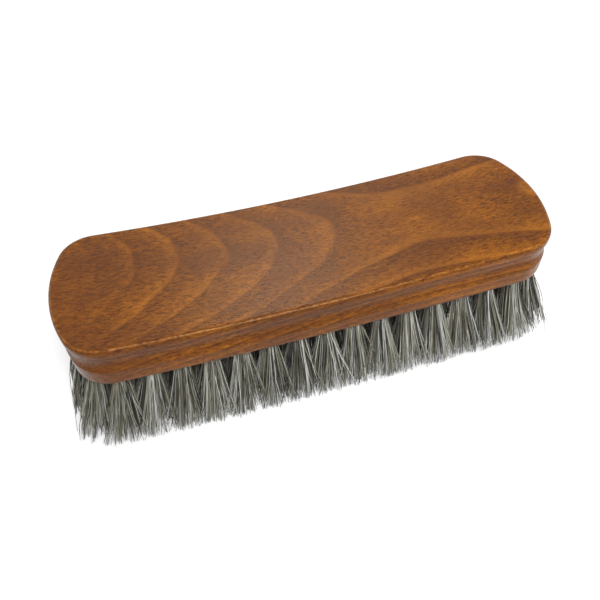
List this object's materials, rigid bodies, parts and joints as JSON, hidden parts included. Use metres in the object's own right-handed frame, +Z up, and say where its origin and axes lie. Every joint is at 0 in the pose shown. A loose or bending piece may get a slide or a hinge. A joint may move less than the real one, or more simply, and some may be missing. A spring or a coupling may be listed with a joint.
{
  "type": "shoe shine brush",
  "caption": "Hand-held shoe shine brush: a dished, coved hardwood block with rows of leaning horsehair tufts, each held in its bore by a flat wire anchor.",
  "frame": {"origin": "centre of the brush's footprint, on the plane of the trimmed hair tips", "axes": "+X along the length of the block, +Y across it, +Z up from the tips to the dished top"},
  "size_m": [0.1848, 0.06, 0.0509],
  "materials": {
    "wood": "stained hardwood under satin lacquer",
    "horsehair": "grey mixed horsehair, trimmed",
    "steel_wire": "flat drawn wire"
  },
  "bodies": {
    "root": {"block": "wood", "front_tufts": "horsehair", "back_tufts": "horsehair", "left_end_tufts": "horsehair", "right_end_tufts": "horsehair", "front_inner_tufts": "horsehair", "middle_tufts": "horsehair", "back_inner_tufts": "horsehair", "front_anchors": "steel_wire", "back_anchors": "steel_wire", "left_end_anchors": "steel_wire", "right_end_anchors": "steel_wire", "front_inner_anchors": "steel_wire", "middle_anchors": "steel_wire", "back_inner_anchors": "steel_wire"}
  },
  "joints": []
}
